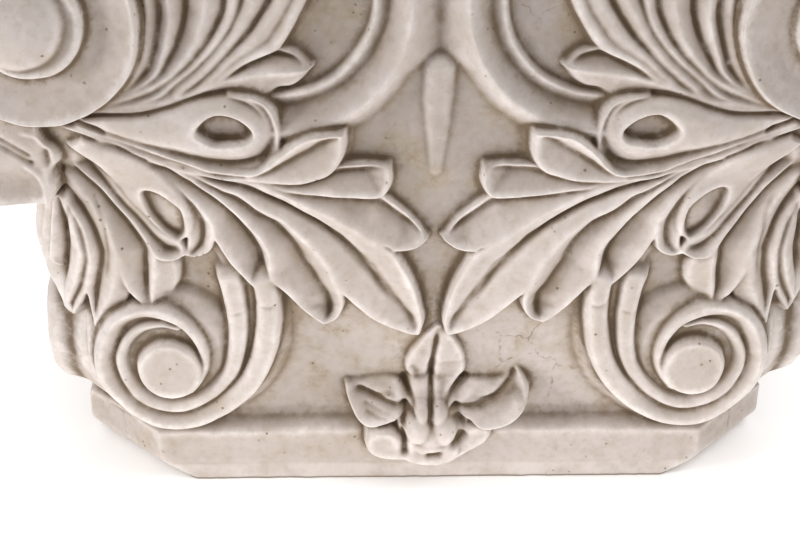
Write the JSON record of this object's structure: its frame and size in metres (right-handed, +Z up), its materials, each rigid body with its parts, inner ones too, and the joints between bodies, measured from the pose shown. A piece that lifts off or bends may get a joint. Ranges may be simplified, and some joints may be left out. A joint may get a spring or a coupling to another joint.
{
  "type": "corinthian capital",
  "caption": "Square capital with acanthus leaves, corner bosses, scrolls and a flower on each face, cast in one piece between a flat slab and a flat bed.",
  "frame": {"origin": "middle of the underside, on the flat face that the capital rests on", "axes": "+Z up, square to the underside; the four equal faces look along -Y, +X, +Y and -X"},
  "size_m": [0.5254, 0.5254, 0.4],
  "materials": {
    "plaster": "matt cast plaster, off-white, with brown-grey dirt in the hollows"
  },
  "bodies": {
    "root": {"capital": "plaster"}
  },
  "joints": []
}
